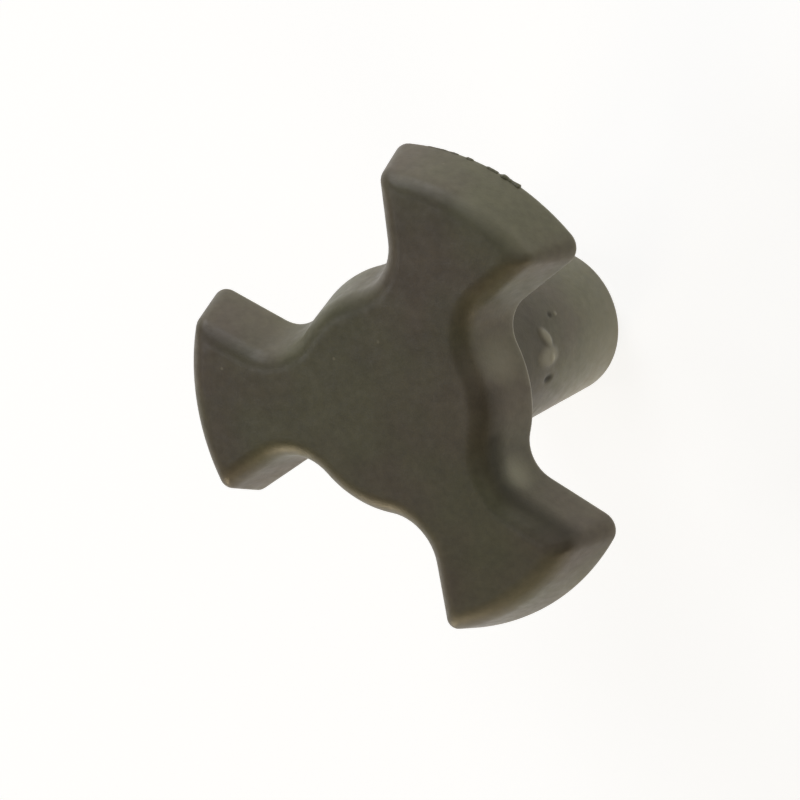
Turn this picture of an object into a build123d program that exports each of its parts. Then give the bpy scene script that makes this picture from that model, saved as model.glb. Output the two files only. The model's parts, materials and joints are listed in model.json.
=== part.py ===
from build123d import *
import os
from math import radians, sqrt, tan

# Microwave turntable coupler, in millimetres.
# It is moulded in one piece: a drive head with three flared lobes, which turns the glass tray,
# on a round stem with a blind D-shaped socket, which slips over the turntable motor's shaft.
# The origin is the centre of the stem's open end. +Z runs up the axis to the head's front face,
# and +X runs along one lobe.

# Drive head
head_diameter = 30.0      # circle through the lobe tips, at the head's back rim
head_depth = 4.1          # back rim to front face
hub_shoulder = 3.05       # the hub stands out this far around the stem
lobe_count = 3
lobe_tip_width = 13.8     # between the two corners of a tip, at the back rim
lobe_root_width = 7.0     # where the flanks run into the hub, at the back rim
root_blend = 2.2          # radius between flank and hub, at the back rim
wall_draft = 16.0         # degrees that every wall leans in towards the front
front_rounding = 1.4

# Motor shaft, as the socket takes it
shaft_diameter = 7.0
shaft_flat_depth = 1.0    # how much the flat takes off the round shaft
shaft_clearance = 0.05    # on each side

# Stem
stem_length = 16.2        # open end to the head's back face
stem_wall = 1.2           # around the socket's round part
stem_root_rounding = 0.5
stem_end_rounding = 0.3
socket_floor = 8.3        # solid left between the socket's end and the front face
socket_lead_in = 0.3

# Sizes that follow from those above
head_radius = head_diameter / 2
total_height = stem_length + head_depth
socket_radius = shaft_diameter / 2 + shaft_clearance
socket_flat = socket_radius - shaft_flat_depth
stem_radius = socket_radius + stem_wall
hub_radius = stem_radius + hub_shoulder
draft_inset = head_depth * tan(radians(wall_draft))

# Corners of one lobe's outline, on its upper side
root_y = lobe_root_width / 2
root_x = sqrt(hub_radius**2 - root_y**2)
tip_y = lobe_tip_width / 2
tip_x = sqrt(head_radius**2 - tip_y**2)
flank_slope = (tip_y - root_y) / (tip_x - root_x)

# The lobe first runs out past the tip circle, further than its drafted end leans back
end_x = head_radius + head_depth
end_y = tip_y + (end_x - tip_x) * flank_slope

# One lobe, from the axis out, with its flanks flaring to the tip
with BuildSketch() as lobe:
    with BuildLine():
        Polyline(
            (0, 0),
            (root_x, -root_y),
            (end_x, -end_y),
            (end_x, end_y),
            (root_x, root_y),
            close=True,
        )
    make_face()

# Drive head, made with its back face on the XY plane
with BuildPart() as head:
    # Hub and lobes as one drafted block, with the flanks blended into the hub
    with BuildSketch() as outline:
        Circle(hub_radius)
        with PolarLocations(0, lobe_count):
            add(lobe.sketch)
        flank_roots = outline.vertices().sort_by_distance((0, 0, 0))[: 2 * lobe_count]
        fillet(flank_roots, root_blend)
    extrude(amount=head_depth, taper=wall_draft)

    # Soft front edge along the flanks and hub, but not across the far ends, which are cut off below
    front_edges = head.faces().sort_by(Axis.Z)[-1].edges()
    fillet(front_edges.sort_by_distance((0, 0, head_depth))[:-lobe_count], front_rounding)

    # The lobe tips lie on one turned shape with the same draft and the same soft front edge.
    # The back rim stays sharp all round, because the mould parts there.
    with BuildSketch(Plane.XZ) as tip_profile:
        with BuildLine():
            Polyline(
                (0, 0),
                (head_radius, 0),
                (head_radius - draft_inset, head_depth),
                (0, head_depth),
                close=True,
            )
        make_face()
        front_corner = tip_profile.vertices().group_by(Axis.Y)[-1].sort_by(Axis.X)[-1]
        fillet(front_corner, front_rounding)
    revolve(axis=Axis.Z, mode=Mode.INTERSECT)

with BuildPart() as coupler:
    # Round stem with the head on top, moulded as one
    with BuildSketch() as stem_section:
        Circle(stem_radius)
    extrude(amount=stem_length)
    with Locations((0, 0, stem_length)):
        add(head.part)
    stem_rings = coupler.edges().filter_by(GeomType.CIRCLE).filter_by(lambda edge: edge.is_closed)
    stem_end, stem_root = stem_rings.sort_by(Axis.Z)
    fillet(stem_root, stem_root_rounding)
    fillet(stem_end, stem_end_rounding)

    # Blind D-shaped socket, with its flat across -X, and a lead-in around its mouth
    with BuildSketch() as socket:
        Circle(socket_radius)
        with Locations((-socket_flat, 0)):
            Rectangle(
                socket_flat + socket_radius,
                2 * socket_radius,
                align=(Align.MIN, Align.CENTER),
                mode=Mode.INTERSECT,
            )
    extrude(amount=total_height - socket_floor, mode=Mode.SUBTRACT)
    socket_mouth = coupler.faces().sort_by(Axis.Z)[0].inner_wires()[0]
    chamfer(socket_mouth.edges(), socket_lead_in)

coupler.part.label = "coupler"

os.makedirs("parts", exist_ok=True)
export_step(coupler.part, "parts/coupler.step")
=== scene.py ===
import bpy
import bmesh
import json
from math import atan2, ceil, cos, exp, hypot, pi, radians, sin, sqrt, tan
from mathutils import Matrix, Vector


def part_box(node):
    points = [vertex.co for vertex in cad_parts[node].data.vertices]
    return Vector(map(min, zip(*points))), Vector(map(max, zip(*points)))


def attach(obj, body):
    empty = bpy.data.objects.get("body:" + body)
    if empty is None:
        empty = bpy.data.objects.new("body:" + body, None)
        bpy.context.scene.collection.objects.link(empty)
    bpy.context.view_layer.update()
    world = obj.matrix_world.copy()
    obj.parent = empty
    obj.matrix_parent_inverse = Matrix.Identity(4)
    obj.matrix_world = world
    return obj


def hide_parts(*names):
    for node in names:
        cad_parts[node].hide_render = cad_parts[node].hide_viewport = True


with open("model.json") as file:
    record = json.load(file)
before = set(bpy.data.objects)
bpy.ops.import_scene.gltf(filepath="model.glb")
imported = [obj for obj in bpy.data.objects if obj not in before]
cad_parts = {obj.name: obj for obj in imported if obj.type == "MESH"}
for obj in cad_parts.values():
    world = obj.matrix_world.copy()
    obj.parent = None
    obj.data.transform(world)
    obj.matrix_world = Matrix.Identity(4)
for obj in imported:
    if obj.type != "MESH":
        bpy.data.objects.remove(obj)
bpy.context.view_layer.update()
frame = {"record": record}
mm = 0.001
mounts = {m["name"]: m for m in frame["record"]["mounts"]}
boxLow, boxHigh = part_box("coupler")
print("frame loaded, coupler", [round(v / mm, 2) for v in (boxHigh - boxLow)], "mm")


# Small helpers

def addNode(tree, kind, inputs=None, **settings):  # inputs: socket name or number -> value or output socket
    node = tree.nodes.new(kind)
    for name, value in settings.items():
        setattr(node, name, value)
    for name, value in (inputs or {}).items():
        if isinstance(value, bpy.types.NodeSocket):
            tree.links.new(value, node.inputs[name])
        else:
            node.inputs[name].default_value = value
    return node


def linear(hexColour):  # sRGB hex to linear RGBA
    parts = [int(hexColour[i:i + 2], 16) / 255 for i in (1, 3, 5)]
    return [p / 12.92 if p <= 0.04045 else ((p + 0.055) / 1.055) ** 2.4 for p in parts] + [1.0]


def newTree(name, sizes):  # sizes: input name -> (socket type, default)
    tree = bpy.data.node_groups.new(name, "GeometryNodeTree")
    tree.interface.new_socket("Geometry", in_out="INPUT", socket_type="NodeSocketGeometry")
    for label, (kind, value) in sizes.items():
        socket = tree.interface.new_socket(label, in_out="INPUT", socket_type=kind)
        if value is not None:
            socket.default_value = value
    tree.interface.new_socket("Geometry", in_out="OUTPUT", socket_type="NodeSocketGeometry")
    return tree, addNode(tree, "NodeGroupInput"), addNode(tree, "NodeGroupOutput")


def runTree(piece, tree, values):  # evaluates the tree on the piece and leaves a plain mesh
    modifier = piece.modifiers.new(tree.name, "NODES")
    modifier.node_group = tree
    for item in tree.interface.items_tree:
        if item.in_out == "INPUT" and item.name in values:
            modifier[item.identifier] = values[item.name]
    bpy.context.view_layer.update()
    shown = piece.evaluated_get(bpy.context.evaluated_depsgraph_get())
    mesh = bpy.data.meshes.new_from_object(shown)
    piece.modifiers.clear()
    piece.data = mesh


def newPiece(name, mesh):
    piece = bpy.data.objects.new(name, mesh)
    bpy.context.scene.collection.objects.link(piece)
    return piece


def finishPiece(piece, material):  # smooth faces and one material, turning with the moulding
    faces = piece.data.polygons
    piece.data.materials.clear()
    piece.data.materials.append(material)
    faces.foreach_set("material_index", [0] * len(faces))
    faces.foreach_set("use_smooth", [True] * len(faces))
    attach(piece, "root")
    print(piece.name, len(piece.data.vertices), "vertices", len(faces), "faces")


# PPS, injection moulded against a lightly textured steel mould and left as it came out.
# It is satin: broad soft highlights, fine grain where light grazes it, a slow drift between olive and
# umber where the glass filler flowed, edges rubbed a little paler with painted highlight along the rim,
# and painted highlights and painted shade in patches on the head and stem.

plastic = {
    "olive": "#666349",
    "umber": "#665C4B",
    "pale": "#9A957C",  # rubbed edges, moulding marks, painted highlights and painted light
    "dark": "#2E2A20",  # painted shade in the hollows, beside the head and along the hub and one notch
    "ior": 1.43,
    "cleanSheen": 0.5,
    "shadedSheen": 0.1,  # painted shade gets less sheen, which darkens it more
    "speckSpacing": 1.6,  # mm between specks of filler
    "speckCut": (0.8, 0.85),  # only the cells above this show a speck
    "speckEdge": (0.04, 0.08),  # of the spacing
    "speckShare": 0.5,
    "rippleStrength": 0.25,
    "rippleDepth": 0.04,  # mm
    "grainStrength": 0.35,
    "grainDepth": 0.02,  # mm
    "shiftShares": (1.0, 0.7, 1.3),  # of a pattern's shift, along x, y and z
}

# Size in mm; the shift sets the patterns apart; noise between the ends gives what lies between the results.
# Drift is the change of colour, clouds and mottle are filler showing through the skin.
# The grain is drawn twice as coarse as the mould's real texture so that it shows.
plasticPatterns = {
    "drift": {"size": 6.5, "detail": 2.0, "shift": 0.031, "ends": (0.36, 0.64), "results": (0.0, 1.0)},
    "clouds": {"size": 2.2, "detail": 4.0, "shift": 0.017, "ends": (0.3, 0.7), "results": (0.9, 1.1)},
    "mottle": {"size": 0.45, "detail": 3.0, "shift": 0.007, "ends": (0.3, 0.7), "results": (0.9, 1.1)},
    "rubAndHighlight": {"size": 1.1, "detail": 4.0, "shift": 0.043, "ends": (0.35, 0.65), "results": (0.2, 0.7)},
    "roughness": {"size": 0.6, "detail": 3.0, "shift": 0.023, "ends": (0.3, 0.7), "results": (0.38, 0.5)},
    "ripple": {"size": 0.9, "detail": 2.0, "shift": 0.011, "ends": (0.0, 1.0), "results": (0.0, 1.0)},
    "grain": {"size": 0.16, "detail": 2.0, "shift": 0.0, "ends": (0.0, 1.0), "results": (0.0, 1.0)},
}


def mouldedPlastic():
    p = plastic
    material = bpy.data.materials.new("pps_moulded_satin")
    material.use_nodes = True
    tree = material.node_tree
    tree.nodes.clear()
    place = addNode(tree, "ShaderNodeTexCoord").outputs["Object"]

    level = {}
    for name, pattern in plasticPatterns.items():
        shift = [pattern["shift"] * share for share in p["shiftShares"]]
        shifted = addNode(tree, "ShaderNodeVectorMath", {0: place, 1: shift}, operation="ADD")
        noise = addNode(tree, "ShaderNodeTexNoise", {
            "Vector": shifted.outputs[0],
            "Scale": 1 / (pattern["size"] * mm),
            "Detail": pattern["detail"],
        })
        level[name] = addNode(tree, "ShaderNodeMapRange", {
            "Value": noise.outputs[0],
            "From Min": pattern["ends"][0],
            "From Max": pattern["ends"][1],
            "To Min": pattern["results"][0],
            "To Max": pattern["results"][1],
        }).outputs[0]

    colour = addNode(tree, "ShaderNodeMix", {
        0: level["drift"],
        6: linear(p["olive"]),
        7: linear(p["umber"]),
    }, data_type="RGBA").outputs[2]
    shade = addNode(tree, "ShaderNodeMath", {0: level["clouds"], 1: level["mottle"]}, operation="MULTIPLY")
    colour = addNode(tree, "ShaderNodeMix", {
        0: 1.0,
        6: colour,
        7: shade.outputs[0],
    }, data_type="RGBA", blend_type="MULTIPLY").outputs[2]

    dots = addNode(tree, "ShaderNodeTexVoronoi", {"Vector": place, "Scale": 1 / (p["speckSpacing"] * mm)})
    cell = addNode(tree, "ShaderNodeSeparateColor", {0: dots.outputs["Color"]})
    few = addNode(tree, "ShaderNodeMapRange", {
        "Value": cell.outputs[0],
        "From Min": p["speckCut"][0],
        "From Max": p["speckCut"][1],
    })
    dot = addNode(tree, "ShaderNodeMapRange", {
        "Value": dots.outputs["Distance"],
        "From Min": p["speckEdge"][0],
        "From Max": p["speckEdge"][1],
        "To Min": p["speckShare"],
        "To Max": 0.0,
    })
    speck = addNode(tree, "ShaderNodeMath", {0: few.outputs[0], 1: dot.outputs[0]}, operation="MULTIPLY")

    # edge rubbing together with painted highlight along the back rim, broken into patches
    edge = addNode(tree, "ShaderNodeAttribute", attribute_name="edgeRubAndHighlight").outputs["Fac"]
    rubAndHighlight = addNode(tree, "ShaderNodeMath", {0: edge, 1: level["rubAndHighlight"]}, operation="MULTIPLY")
    # the tone: moulding marks, painted light and painted shade; below zero it is all painted shade
    tone = addNode(tree, "ShaderNodeAttribute", attribute_name="marksLightAndShade").outputs["Fac"]
    paintedShade = addNode(tree, "ShaderNodeMath", {0: tone, 1: -1.0}, operation="MULTIPLY")
    layers = [
        (rubAndHighlight.outputs[0], "pale"),
        (tone, "pale"),
        (paintedShade.outputs[0], "dark"),
        (speck.outputs[0], "pale"),
    ]
    for share, paint in layers:
        colour = addNode(tree, "ShaderNodeMix", {
            0: share,
            6: colour,
            7: linear(p[paint]),
        }, data_type="RGBA").outputs[2]
    # less sheen where shade is painted
    sheen = addNode(tree, "ShaderNodeMapRange", {
        "Value": tone,
        "From Min": -1.0,
        "From Max": 0.0,
        "To Min": p["shadedSheen"],
        "To Max": p["cleanSheen"],
    })

    rippled = addNode(tree, "ShaderNodeBump", {
        "Height": level["ripple"],
        "Strength": p["rippleStrength"],
        "Distance": p["rippleDepth"] * mm,
    })
    grained = addNode(tree, "ShaderNodeBump", {
        "Height": level["grain"],
        "Strength": p["grainStrength"],
        "Distance": p["grainDepth"] * mm,
        "Normal": rippled.outputs[0],
    })
    shader = addNode(tree, "ShaderNodeBsdfPrincipled", {
        "Base Color": colour,
        "Roughness": level["roughness"],
        "IOR": p["ior"],
        "Specular IOR Level": sheen.outputs[0],
        "Normal": grained.outputs[0],
    })
    addNode(tree, "ShaderNodeOutputMaterial", {"Surface": shader.outputs[0]})
    return material


pps = mouldedPlastic()


# Sizes of the moulding, in mm, as the imported solid has them, and how far its edges are rubbed and painted
# with highlight

coupler = {
    "headRadius": boxHigh.x / mm,  # tip circle at the back rim
    "height": boxHigh.z / mm,
    "headDepth": 4.1,
    "lobeCount": 3,
    "hubRadius": 7.8,
    "tipWidth": 13.8,
    "rootWidth": 7.0,
    "rootBlend": 2.2,
    "draft": radians(16),
    "frontRounding": 1.4,
    "tipCornerBack": 1.1,  # the solid's tip corners are sharp; the moulded ones are softer
    "tipCornerFront": 0.5,
    "rimRounding": 0.26,
    "stemRadius": mounts["stem"]["dims"]["r_mm"],
    "stemRootRounding": 0.5,
    "stemEndRounding": 0.3,
    "socketRadius": 3.55,
    "socketFlat": 2.55,
    "socketDepth": 12.0,
    "socketLeadIn": 0.3,
    "frontRubAndHighlight": 0.2,  # of the rubbing and painted highlight that the back rim has
    "wallRubAndHighlight": 0.4,  # of it on the walls beside the rim, fading over wallRubAndHighlightReach
    "wallRubAndHighlightReach": 0.9,
}

meshSteps = {  # faces along each stretch
    "tipArc": 18,
    "corner": 8,
    "flank": 12,
    "blend": 12,
    "hubArc": 10,
    "frontFace": 26,
    "frontRounding": 12,
    "wall": 12,
    "rim": 5,
    "back": 10,
    "stemRoot": 5,
    "stem": 120,
    "stemEnd": 5,
    "socket": 24,
    "socketFloor": 4,
}

meshLayout = {
    "lobeMiddleLength": 9.5,  # mm; the front face's mesh runs out from this line along each lobe
    "weldDistance": 0.002,  # mm
    "ends": {  # of each stretch of the outline, from the lobe's middle, 0, to the notch's middle, 1
        "tipArc": 0.15,
        "corner": 0.21,
        "flank": 0.42,
        "blend": 0.73,
        "hubArc": 1.0,
    },
}


# One third of the head's outline

def arcPoints(centre, radius, start, end, steps):
    angles = [start + (end - start) * k / steps for k in range(steps + 1)]
    return [centre + radius * Vector((cos(a), sin(a))) for a in angles]


def heading(v):
    return atan2(v.y, v.x)


def lobeOutline(inset):  # from one notch to the next around the +X lobe; inset moves every wall inwards
    c = coupler
    root = Vector((sqrt(c["hubRadius"] ** 2 - c["rootWidth"] ** 2 / 4), c["rootWidth"] / 2))
    tip = Vector((sqrt(c["headRadius"] ** 2 - c["tipWidth"] ** 2 / 4), c["tipWidth"] / 2))
    along = (tip - root).normalized()
    outward = Vector((-along.y, along.x))
    flank = tip - outward * inset
    tipR = c["headRadius"] - inset
    hubR = c["hubRadius"] - inset
    blendR = c["rootBlend"] + inset
    towardsFront = min(1, inset / (c["headDepth"] * tan(c["draft"])))
    cornerR = c["tipCornerBack"] + (c["tipCornerFront"] - c["tipCornerBack"]) * towardsFront

    def onCircle(start, reach):  # where a line along the flank meets a circle about the axis
        b = start.dot(along)
        return start + along * (sqrt(b * b - start.dot(start) + reach * reach) - b)

    cornerMid = onCircle(flank - outward * cornerR, tipR - cornerR)
    blendMid = onCircle(flank + outward * blendR, hubR + blendR)
    tipEnd = cornerMid * (tipR / cornerMid.length)
    flankTop = cornerMid + outward * cornerR
    flankFoot = blendMid - outward * blendR
    hubStart = blendMid * (hubR / blendMid.length)

    half = arcPoints(Vector((0, 0)), tipR, 0, heading(tipEnd), meshSteps["tipArc"])
    half += arcPoints(cornerMid, cornerR, heading(tipEnd), heading(outward), meshSteps["corner"])[1:]
    half += [flankTop.lerp(flankFoot, k / meshSteps["flank"]) for k in range(1, meshSteps["flank"])]
    half += arcPoints(blendMid, blendR, heading(-outward), heading(-blendMid), meshSteps["blend"])
    half += arcPoints(Vector((0, 0)), hubR, heading(hubStart), pi / c["lobeCount"], meshSteps["hubArc"])[1:]
    mirrored = [Vector((p.x, -p.y)) for p in reversed(half[1:])]
    return mirrored + half


def stationShares():  # how far each outline point is from the lobe's middle (0) to the notch's middle (1)
    shares = [0.0]
    for name, end in meshLayout["ends"].items():
        start = shares[-1]
        shares += [start + (end - start) * k / meshSteps[name] for k in range(1, meshSteps[name] + 1)]
    return [-s for s in reversed(shares[1:])] + shares


def sectorRings():  # rings of the third and their edge rubbing with painted highlight, from the front face's middle to the stem's open end
    c = coupler
    top = c["height"]
    back = top - c["headDepth"]
    lean = c["draft"]
    frontRubAndHighlight = c["frontRubAndHighlight"]
    shares = stationShares()
    rings = []

    def addOutline(inset, z, rubAndHighlight=0.0):
        rings.append(([(p.x, p.y, z) for p in lobeOutline(inset)], rubAndHighlight))

    def addBetween(start, end, z, steps, first=0):
        for k in range(first, steps + 1):
            rings.append(([(*p.lerp(q, k / steps), z) for p, q in zip(start, end)], 0.0))

    def circle(radius):
        angles = [s * pi / c["lobeCount"] for s in shares]
        return [Vector((cos(a), sin(a))) * radius for a in angles]

    def addCircle(radius, z, rubAndHighlight=0.0):
        rings.append(([(p.x, p.y, z) for p in circle(radius)], rubAndHighlight))

    r = c["frontRounding"]
    leanIn = c["headDepth"] * tan(lean)
    frontInset = leanIn + r * tan((pi / 2 - lean) / 2)
    frontEdge = lobeOutline(frontInset)
    lobeMiddle = [Vector(((1 - abs(s)) * meshLayout["lobeMiddleLength"], 0)) for s in shares]
    addBetween(lobeMiddle, frontEdge, top, meshSteps["frontFace"])
    for k in range(1, meshSteps["frontRounding"] + 1):
        share = k / meshSteps["frontRounding"]
        a = (pi / 2 - lean) * share
        addOutline(frontInset - r * sin(a), top - r + r * cos(a), frontRubAndHighlight * sin(pi * share))

    rim = c["rimRounding"]
    rimInset = rim * tan((pi / 2 + lean) / 2)
    wallTop = top - r + r * sin(lean)
    wallFoot = back + rim + rim * sin(lean)
    # walls and rim carry rubbing and painted highlight, strongest on the rim rounding and fading up the
    # wall
    for k in range(1, meshSteps["wall"] + 1):
        z = wallTop + (wallFoot - wallTop) * k / meshSteps["wall"]
        addOutline((z - back) * tan(lean), z, c["wallRubAndHighlight"] * exp((back - z) / c["wallRubAndHighlightReach"]))
    for k in range(1, meshSteps["rim"] + 1):
        share = k / meshSteps["rim"]
        a = pi / 2 - lean + (pi / 2 + lean) * share
        rubAndHighlight = max(sin(pi * share), c["wallRubAndHighlight"] * (1 - share))
        addOutline(rimInset - rim * sin(a), back + rim + rim * cos(a), rubAndHighlight)

    rootR = c["stemRootRounding"]
    addBetween(lobeOutline(rimInset), circle(c["stemRadius"] + rootR), back, meshSteps["back"], first=1)
    for k in range(1, meshSteps["stemRoot"] + 1):
        a = pi / 2 * k / meshSteps["stemRoot"]
        addCircle(c["stemRadius"] + rootR * (1 - sin(a)), back - rootR * (1 - cos(a)))

    endR = c["stemEndRounding"]
    for k in range(1, meshSteps["stem"] + 1):
        share = k / meshSteps["stem"]
        addCircle(c["stemRadius"], (back - rootR) * (1 - share) + endR * share)
    for k in range(1, meshSteps["stemEnd"] + 1):
        share = k / meshSteps["stemEnd"]
        a = pi / 2 * share
        addCircle(c["stemRadius"] - endR * (1 - cos(a)), endR * (1 - sin(a)), sin(pi * share))
    return rings


def sectorMesh():
    rings = sectorRings()
    count = len(rings[0][0])
    corners = [Vector(p) * mm for ring, rubAndHighlight in rings for p in ring]
    faces = []
    for i in range(len(rings) - 1):
        for j in range(count - 1):
            a = i * count + j
            faces.append((a, a + count, a + count + 1, a + 1))
    mesh = bpy.data.meshes.new("lobeSector")
    mesh.from_pydata(corners, [], faces)
    edgeRubAndHighlight = mesh.attributes.new("edgeRubAndHighlight", "FLOAT", "POINT")
    edgeRubAndHighlight.data.foreach_set("value", [rubAndHighlight for ring, rubAndHighlight in rings for p in ring])
    return mesh


# The three lobes repeat around the axis

def lobeRepeatTree():
    tree, given, result = newTree("lobesAroundAxis", {
        "Lobe Count": ("NodeSocketInt", coupler["lobeCount"]),
        "Weld Distance": ("NodeSocketFloat", meshLayout["weldDistance"] * mm),
        "Material": ("NodeSocketMaterial", None),
    })
    step = addNode(tree, "ShaderNodeMath", {0: 2 * pi, 1: given.outputs["Lobe Count"]}, operation="DIVIDE")
    points = addNode(tree, "GeometryNodePoints", {"Count": given.outputs["Lobe Count"]})
    index = addNode(tree, "GeometryNodeInputIndex")
    angle = addNode(tree, "ShaderNodeMath", {0: index.outputs[0], 1: step.outputs[0]}, operation="MULTIPLY")
    turn = addNode(tree, "ShaderNodeCombineXYZ", {"Z": angle.outputs[0]})
    lobes = addNode(tree, "GeometryNodeInstanceOnPoints", {
        "Points": points.outputs[0],
        "Instance": given.outputs["Geometry"],
        "Rotation": turn.outputs[0],
    })
    real = addNode(tree, "GeometryNodeRealizeInstances", {0: lobes.outputs[0]})
    welded = addNode(tree, "GeometryNodeMergeByDistance", {
        "Geometry": real.outputs[0],
        "Distance": given.outputs["Weld Distance"],
    })
    finished = addNode(tree, "GeometryNodeSetMaterial", {
        "Geometry": welded.outputs[0],
        "Material": given.outputs["Material"],
    })
    tree.links.new(finished.outputs[0], result.inputs[0])
    return tree


def addSocket(piece):  # D-shaped socket, from the stem's open end inwards
    c = coupler
    bm = bmesh.new()
    bm.from_mesh(piece.data)
    rim = {v for e in bm.edges if e.is_boundary for v in e.verts}
    mouth = sorted(rim, key=lambda v: heading(v.co))

    def socketRing(growth, depth, scale=1.0):
        ring = []
        for v in mouth:
            a = heading(v.co)
            reach = c["socketRadius"] + growth
            if cos(a) < 0:
                reach = min(reach, (c["socketFlat"] + growth) / -cos(a))
            outward = Vector((cos(a), sin(a), 0)) * reach * scale * mm
            ring.append(bm.verts.new(outward + Vector((0, 0, depth * mm))))
        return ring

    rings = [mouth, socketRing(c["socketLeadIn"], 0), socketRing(0, c["socketLeadIn"])]
    for k in range(1, meshSteps["socket"] + 1):
        share = k / meshSteps["socket"]
        rings.append(socketRing(0, c["socketLeadIn"] * (1 - share) + c["socketDepth"] * share))
    for k in range(1, meshSteps["socketFloor"]):
        rings.append(socketRing(0, c["socketDepth"], 1 - k / meshSteps["socketFloor"]))
    for outer, inner in zip(rings, rings[1:]):
        for k in range(len(mouth)):
            bm.faces.new((outer[k - 1], inner[k - 1], inner[k], outer[k]))
    middle = bm.verts.new((0, 0, c["socketDepth"] * mm))
    for k in range(len(mouth)):
        bm.faces.new((rings[-1][k - 1], middle, rings[-1][k]))
    bmesh.ops.recalc_face_normals(bm, faces=bm.faces)
    bm.to_mesh(piece.data)
    bm.free()


# Small marks that the mould left on the stem, and painted light and painted shade on the stem and head.
# Tone runs from dark, -1, to pale, 1.

stemMarks = {  # angle and turn in degrees; z, sizes and height in mm
    "flag": {"angle": -166, "z": 8.85, "size": (1.7, 1.0), "turn": 35, "height": 0.14, "tone": 0.9},
    "boss": {"angle": 180, "z": 9.1, "size": (1.55, 2.8), "turn": 0, "height": 0.1, "tone": 0.7},
    "bossPip": {"angle": 178, "z": 8.7, "size": (0.6, 0.6), "turn": 0, "height": 0.05, "tone": 0.5},
    # the pit and the nib hollow are darkened with painted shade in their hollows
    "pit": {"angle": 163, "z": 9.1, "size": (0.6, 1.3), "turn": 0, "height": -0.1, "tone": -0.7},
    "nib": {"angle": -154, "z": 6.8, "size": (0.3, 0.4), "turn": 0, "height": 0.05, "tone": 0.7},
    "nibHollow": {"angle": -153, "z": 7.4, "size": (0.45, 0.6), "turn": 0, "height": -0.04, "tone": -0.5},
}

stemPaintedLightShade = {  # painted shade on the stem beside the head, which shades it, and painted light towards its open end, which the floor lights; places in mm
    "dark": {"place": (-4.5, -2.0, 9.5), "tone": -0.5},
    "pale": {"place": (-2.5, 4.2, 2.5), "tone": 0.65},
}

headPaintedLightShade = {  # points that each painted patch runs through, and its reach, in mm; pale patches are painted highlights and painted light, dark ones painted shade
    # painted highlights on the root blends beside the stem, and painted light along the tips' front edges
    "upperRoot": {"points": [(-6.9, -2.2, 18.2)], "reach": 2.0, "tone": 0.55},
    "lowerRoot": {"points": [(-6.9, 4.6, 18.0)], "reach": 1.5, "tone": 1.0},
    "upperTip": {"points": [(-7.2, -11.8, 19.9), (-10.6, -8.9, 19.8)], "reach": 1.1, "tone": 0.3},
    "lowerTip": {
        "points": [(-2.6, 13.1, 20.0), (-6.2, 12.0, 20.0), (-9.6, 9.6, 20.0)],
        "reach": 1.1,
        "tone": 0.25,
    },
    # painted shade along the hub and the notch beside the stem, where the front edge turns away from the
    # lamps
    "hubShade": {"points": [(-6.85, 0.0, 19.5), (-6.5, 2.4, 19.4)], "reach": 1.5, "tone": -0.4},
    "notchShade": {
        "points": [
            (-6.5, 2.4, 19.3),
            (-6.4, 3.6, 19.3),
            (-7.0, 5.6, 19.3),
            (-8.6, 6.8, 19.3),
            (-10.4, 7.9, 19.3),
        ],
        "reach": 1.25,
        "tone": -0.68,
    },
}


def markReach(mark, angle, z):  # 0 at a mark's middle, 1 at its edge
    away = (angle - radians(mark["angle"]) + pi) % (2 * pi) - pi
    across = away * coupler["stemRadius"]
    along = z - mark["z"]
    turn = radians(mark["turn"])
    length, width = mark["size"]
    x = (across * cos(turn) + along * sin(turn)) / (length / 2)
    y = (along * cos(turn) - across * sin(turn)) / (width / 2)
    return hypot(x, y)


# painted shade beside the head that fades into painted light towards the open end
def paintedLightAlongStem(place):
    dark = Vector(stemPaintedLightShade["dark"]["place"])
    line = Vector(stemPaintedLightShade["pale"]["place"]) - dark
    share = min(1, max(0, (place - dark).dot(line) / line.length_squared))
    return stemPaintedLightShade["dark"]["tone"] * (1 - share) + stemPaintedLightShade["pale"]["tone"] * share


def distanceTo(points, place):  # to the line through the points
    nearest = (place - Vector(points[0])).length
    for start, end in zip(points, points[1:]):
        line = Vector(end) - Vector(start)
        along = place - Vector(start)
        share = min(1, max(0, along.dot(line) / line.length_squared))
        nearest = min(nearest, (along - line * share).length)
    return nearest


def addMarks(piece):  # raises the marks and writes the tone of every point, which holds the marks' colour, painted light and painted shade
    tones = piece.data.attributes.new("marksLightAndShade", "FLOAT", "POINT").data
    headBack = coupler["height"] - coupler["headDepth"]
    tolerance = 0.001  # mm
    for v in piece.data.vertices:
        place = v.co / mm
        outward = Vector((place.x, place.y, 0))
        tone = 0.0
        if place.z < headBack and abs(outward.length - coupler["stemRadius"]) < tolerance:
            tone = paintedLightAlongStem(place)
            for mark in stemMarks.values():
                reach = markReach(mark, heading(outward), place.z)
                if reach < 1:
                    rise = (1 - reach ** 4) ** 2  # a flat top with a soft foot
                    v.co += outward.normalized() * rise * mark["height"] * mm
                    tone += rise * mark["tone"]
        patchTones = [0]
        for patch in headPaintedLightShade.values():
            reach = distanceTo(patch["points"], place) / patch["reach"]
            patchTones.append(patch["tone"] * max(0, 1 - reach ** 2) ** 2)
        tones[v.index].value = tone + max(patchTones) + min(patchTones)  # the palest and the darkest; the dark ones are painted shade


# Slow unevenness of a moulded surface that shrank as it cooled

unevenness = {
    "sinkSize": 4.5,  # mm across one swell or sink
    "sinkDepth": 0.022,  # mm
    "rippleSize": 1.1,
    "rippleDepth": 0.005,
    "detail": 1.0,
}


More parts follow.
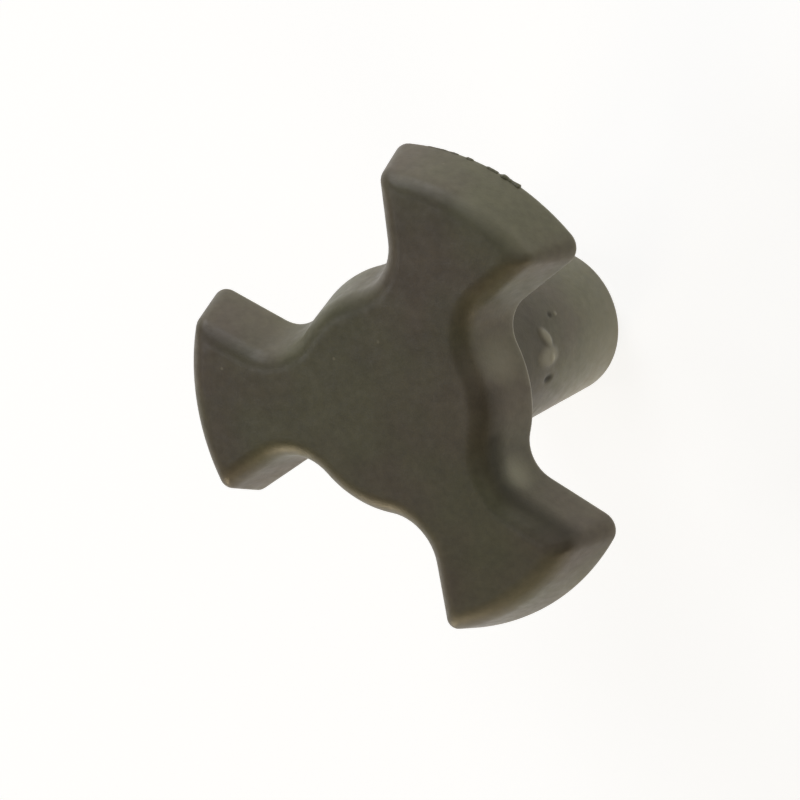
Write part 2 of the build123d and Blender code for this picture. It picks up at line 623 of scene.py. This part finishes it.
def unevenTree():
    u = unevenness
    tree, given, result = newTree("unevenMoulding", {
        "Sink Size": ("NodeSocketFloat", u["sinkSize"] * mm),
        "Sink Depth": ("NodeSocketFloat", u["sinkDepth"] * mm),
        "Ripple Size": ("NodeSocketFloat", u["rippleSize"] * mm),
        "Ripple Depth": ("NodeSocketFloat", u["rippleDepth"] * mm),
        "Material": ("NodeSocketMaterial", None),
    })
    place = addNode(tree, "GeometryNodeInputPosition").outputs[0]
    moves = []
    for name in ("Sink", "Ripple"):
        size = given.outputs[name + " Size"]
        scale = addNode(tree, "ShaderNodeMath", {0: 1.0, 1: size}, operation="DIVIDE")
        swell = addNode(tree, "ShaderNodeTexNoise", {
            "Vector": place,
            "Scale": scale.outputs[0],
            "Detail": u["detail"],
        })
        centred = addNode(tree, "ShaderNodeMath", {0: swell.outputs[0], 1: 0.5}, operation="SUBTRACT")
        moves.append(addNode(tree, "ShaderNodeMath", {
            0: centred.outputs[0],
            1: given.outputs[name + " Depth"],
        }, operation="MULTIPLY").outputs[0])
    move = addNode(tree, "ShaderNodeMath", {0: moves[0], 1: moves[1]}, operation="ADD")
    normal = addNode(tree, "GeometryNodeInputNormal").outputs[0]
    offset = addNode(tree, "ShaderNodeVectorMath", {0: normal, "Scale": move.outputs[0]}, operation="SCALE")
    moved = addNode(tree, "GeometryNodeSetPosition", {
        "Geometry": given.outputs["Geometry"],
        "Offset": offset.outputs[0],
    })
    real = addNode(tree, "GeometryNodeRealizeInstances", {0: moved.outputs[0]})
    finished = addNode(tree, "GeometryNodeSetMaterial", {
        "Geometry": real.outputs[0],
        "Material": given.outputs["Material"],
    })
    tree.links.new(finished.outputs[0], result.inputs[0])
    return tree


body = newPiece("coupler_body", sectorMesh())
runTree(body, lobeRepeatTree(), {"Material": pps})
addSocket(body)
addMarks(body)
runTree(body, unevenTree(), {"Material": pps})
finishPiece(body, pps)
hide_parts("coupler")


# Flash that squeezed out where the mould parts, along the back rim of one lobe's tip

flash = {
    "stretches": [  # degrees around the axis; how far it stands out in mm
        {"from": 259.0, "to": 249.0, "height": 0.1, "runIn": 1.5, "runOut": 1.0},
        {"from": 248.4, "to": 245.0, "height": 0.14, "runIn": 1.0, "runOut": 1.2},
        {"from": 243.4, "to": 238.6, "height": 0.13, "runIn": 1.5, "runOut": 0.8},
        {"from": 239.4, "to": 232.8, "height": 0.18, "runIn": 1.5, "runOut": 0.5},
    ],
    "least": 0.012,  # mm, between the stretches
    "step": 0.1,  # degrees between points
    "radius": 14.84,  # mm from the axis to the rim that it grew from
    "above": 0.25,  # mm above the head's back face
    "tallness": 1.1,  # height along the axis, against how far it stands out
    "toothSize": 0.55,  # mm
    "toothDetail": 4.0,
    "raggedness": 0.95,
    "sides": 10,
}


def flashPath():  # points along the tip's rim, with the height that the flash has there
    f = flash
    first = max(s["from"] for s in f["stretches"])
    last = min(s["to"] for s in f["stretches"])
    z = coupler["height"] - coupler["headDepth"] + f["above"]
    points = []
    heights = []
    for k in range(ceil((first - last) / f["step"]) + 1):
        a = first - k * f["step"]
        rise = f["least"]
        for s in f["stretches"]:
            share = min(1, (s["from"] - a) / s["runIn"], (a - s["to"]) / s["runOut"])
            rise = max(rise, s["height"] * share)
        points.append(Vector((f["radius"] * cos(radians(a)), f["radius"] * sin(radians(a)), z)) * mm)
        heights.append(rise * mm)
    mesh = bpy.data.meshes.new("flashPath")
    mesh.from_pydata(points, [(k, k + 1) for k in range(len(points) - 1)], [])
    mesh.attributes.new("flashHeight", "FLOAT", "POINT").data.foreach_set("value", heights)
    return mesh


def flashTree():
    f = flash
    tree, given, result = newTree("flashAlongRim", {
        "Tooth Size": ("NodeSocketFloat", f["toothSize"] * mm),
        "Raggedness": ("NodeSocketFloat", f["raggedness"]),
        "Tallness": ("NodeSocketFloat", f["tallness"]),
        "Rim Height": ("NodeSocketFloat", 0.0),
        "Material": ("NodeSocketMaterial", None),
    })
    path = addNode(tree, "GeometryNodeMeshToCurve", {"Mesh": given.outputs["Geometry"]})
    place = addNode(tree, "GeometryNodeInputPosition").outputs[0]
    scale = addNode(tree, "ShaderNodeMath", {0: 1.0, 1: given.outputs["Tooth Size"]}, operation="DIVIDE")
    teeth = addNode(tree, "ShaderNodeTexNoise", {
        "Vector": place,
        "Scale": scale.outputs[0],
        "Detail": f["toothDetail"],
    })
    centred = addNode(tree, "ShaderNodeMath", {0: teeth.outputs[0], 1: 0.5}, operation="SUBTRACT")
    ragged = addNode(tree, "ShaderNodeMath", {
        0: centred.outputs[0],
        1: given.outputs["Raggedness"],
        2: 1.0,
    }, operation="MULTIPLY_ADD")
    height = addNode(tree, "GeometryNodeInputNamedAttribute", {"Name": "flashHeight"}, data_type="FLOAT")
    size = addNode(tree, "ShaderNodeMath", {
        0: height.outputs[0],
        1: ragged.outputs[0],
    }, operation="MULTIPLY")
    section = addNode(tree, "GeometryNodeCurvePrimitiveCircle", {"Resolution": f["sides"], "Radius": 1.0})
    bead = addNode(tree, "GeometryNodeCurveToMesh", {
        "Curve": path.outputs[0],
        "Profile Curve": section.outputs[0],
        "Scale": size.outputs[0],
        "Fill Caps": True,
    })
    parts = addNode(tree, "ShaderNodeSeparateXYZ", {0: place})
    aboveRim = addNode(tree, "ShaderNodeMath", {
        0: parts.outputs[2],
        1: given.outputs["Rim Height"],
    }, operation="SUBTRACT")
    taller = addNode(tree, "ShaderNodeMath", {
        0: aboveRim.outputs[0],
        1: given.outputs["Tallness"],
        2: given.outputs["Rim Height"],
    }, operation="MULTIPLY_ADD")
    tallPlace = addNode(tree, "ShaderNodeCombineXYZ", {
        "X": parts.outputs[0],
        "Y": parts.outputs[1],
        "Z": taller.outputs[0],
    })
    fin = addNode(tree, "GeometryNodeSetPosition", {
        "Geometry": bead.outputs[0],
        "Position": tallPlace.outputs[0],
    })
    real = addNode(tree, "GeometryNodeRealizeInstances", {0: fin.outputs[0]})
    finished = addNode(tree, "GeometryNodeSetMaterial", {
        "Geometry": real.outputs[0],
        "Material": given.outputs["Material"],
    })
    tree.links.new(finished.outputs[0], result.inputs[0])
    return tree


rimHeight = (coupler["height"] - coupler["headDepth"] + flash["above"]) * mm
partingFlash = newPiece("parting_flash", flashPath())
runTree(partingFlash, flashTree(), {"Rim Height": rimHeight, "Material": pps})
finishPiece(partingFlash, pps)


# Camera at the photograph's angle

photoView = {
    "aim": (1.03, 0.495, 17.03),  # mm
    "azimuth": radians(-157.43),
    "elevation": radians(54.12),
    "roll": radians(117.3),
    "distance": 208.7,  # mm
    "lens": 158.4,  # mm
    "sensor": 36,  # mm
    "clip": (0.01, 20),  # m
}


def viewAxes(v):  # right, up and back of the camera
    level = cos(v["elevation"])
    back = Vector((cos(v["azimuth"]) * level, sin(v["azimuth"]) * level, sin(v["elevation"])))
    levelRight = Vector((0, 0, 1)).cross(back).normalized()
    levelUp = back.cross(levelRight)
    up = levelUp * cos(v["roll"]) + levelRight * sin(v["roll"])
    return up.cross(back), up, back


right, up, back = viewAxes(photoView)
aim = Vector(photoView["aim"]) * mm
camera = bpy.data.objects.new("photoCamera", bpy.data.cameras.new("photoCamera"))
bpy.context.scene.collection.objects.link(camera)
camera.data.lens = photoView["lens"]
camera.data.sensor_width = photoView["sensor"]
camera.data.clip_start, camera.data.clip_end = photoView["clip"]
turned = Matrix((right, up, back)).transposed().to_4x4()
camera.matrix_world = Matrix.Translation(aim + back * photoView["distance"] * mm) @ turned
bpy.context.scene.camera = camera


# Light table as the floor, white backdrop and soft lamps

studio = {
    "floorSize": 3.0,  # m
    "floor": "#F4F4F2",
    "floorLight": 0.66,  # light that comes up through the floor
    "floorLightColour": "#FFFDF8",
    "floorGlow": 0.6,  # share of plain white where the floor is seen directly; the rest takes the shadow
    "roomLight": 0.04,
    "wallTop": (0.12, 0.3),  # sine of the height at which the white backdrop fades out
    "lampSize": 0.3,  # m
    "centre": (0, 0, 0.012),  # m, where the lamps point
}

lamps = {  # named for their side of the picture; azimuth in degrees, height and reach in m, power in W
    "left": {"azimuth": 0, "height": 0.56, "reach": 0.43, "power": 0.7, "colour": "#FCFBFF"},
    "front": {"azimuth": 180, "height": 0.56, "reach": 0.43, "power": 0.1, "colour": "#FCFBFF"},
    "above": {"azimuth": 290, "height": 0.42, "reach": 0.57, "power": 0.85, "colour": "#EEF2FF"},
    "top": {"azimuth": 278, "height": 0.16, "reach": 0.7, "power": 1.05, "colour": "#F6F7FF"},
    "bottom": {"azimuth": 55, "height": 0.16, "reach": 0.7, "power": 1.55, "colour": "#FFE8BC"},
    "right": {"azimuth": 122, "height": 0.16, "reach": 0.7, "power": 0.55, "colour": "#FFE8BC"},
}


def seenDirectly(tree):  # 1 for camera, glossy and transmission rays
    rays = addNode(tree, "ShaderNodeLightPath").outputs
    seen = rays["Is Camera Ray"]
    for name in ("Is Glossy Ray", "Is Transmission Ray"):
        seen = addNode(tree, "ShaderNodeMath", {0: seen, 1: rays[name]}, operation="MAXIMUM").outputs[0]
    return seen


# Opal acrylic, cast and lit from beneath: an even white that still takes a faint shadow.
def lightTable():
    material = bpy.data.materials.new("opal_acrylic_lit")
    material.use_nodes = True
    tree = material.node_tree
    tree.nodes.clear()
    matt = addNode(tree, "ShaderNodeBsdfDiffuse", {"Color": linear(studio["floor"])})
    lit = addNode(tree, "ShaderNodeEmission", {
        "Color": linear(studio["floorLightColour"]),
        "Strength": studio["floorLight"],
    })
    table = addNode(tree, "ShaderNodeAddShader", {0: matt.outputs[0], 1: lit.outputs[0]})
    white = addNode(tree, "ShaderNodeEmission", {"Color": (1, 1, 1, 1), "Strength": 1.0})
    share = addNode(tree, "ShaderNodeMath", {
        0: seenDirectly(tree),
        1: studio["floorGlow"],
    }, operation="MULTIPLY")
    mixed = addNode(tree, "ShaderNodeMixShader", {
        0: share.outputs[0],
        1: table.outputs[0],
        2: white.outputs[0],
    })
    addNode(tree, "ShaderNodeOutputMaterial", {"Surface": mixed.outputs[0]})
    return material


floorMesh = bpy.data.meshes.new("floor")
edge = studio["floorSize"] / 2
floorCorners = [(-edge, -edge, 0), (edge, -edge, 0), (edge, edge, 0), (-edge, edge, 0)]
floorMesh.from_pydata(floorCorners, [], [(0, 1, 2, 3)])
floor = newPiece("floor", floorMesh)
floorMesh.materials.append(lightTable())

world = bpy.data.worlds.new("studio")
bpy.context.scene.world = world
world.use_nodes = True
worldTree = world.node_tree
worldTree.nodes.clear()
direction = addNode(worldTree, "ShaderNodeTexCoord").outputs["Generated"]
upward = addNode(worldTree, "ShaderNodeSeparateXYZ", {0: direction}).outputs[2]
onWall = addNode(worldTree, "ShaderNodeMapRange", {
    "Value": upward,
    "From Min": studio["wallTop"][0],
    "From Max": studio["wallTop"][1],
    "To Min": 1.0,
    "To Max": 0.0,
}, interpolation_type="SMOOTHSTEP").outputs[0]
room = addNode(worldTree, "ShaderNodeBackground", {"Color": (1, 1, 1, 1), "Strength": studio["roomLight"]})
white = addNode(worldTree, "ShaderNodeBackground", {"Color": (1, 1, 1, 1), "Strength": 1.0})
asWhite = addNode(worldTree, "ShaderNodeMath", {
    0: seenDirectly(worldTree),
    1: onWall,
}, operation="MULTIPLY")
shown = addNode(worldTree, "ShaderNodeMixShader", {
    0: asWhite.outputs[0],
    1: room.outputs[0],
    2: white.outputs[0],
})
addNode(worldTree, "ShaderNodeOutputWorld", {"Surface": shown.outputs[0]})

for name, lamp in lamps.items():
    data = bpy.data.lights.new(name, "AREA")
    data.shape = "DISK"
    data.size = studio["lampSize"]
    data.energy = lamp["power"]
    data.color = linear(lamp["colour"])[:3]
    light = bpy.data.objects.new(name, data)
    bpy.context.scene.collection.objects.link(light)
    azimuth = radians(lamp["azimuth"])
    light.location = (lamp["reach"] * cos(azimuth), lamp["reach"] * sin(azimuth), lamp["height"])
    light.rotation_mode = "QUATERNION"
    light.rotation_quaternion = (Vector(studio["centre"]) - light.location).to_track_quat("-Z", "Y")

bpy.context.scene.view_settings.view_transform = "Standard"
print("camera, floor and lamps in place")
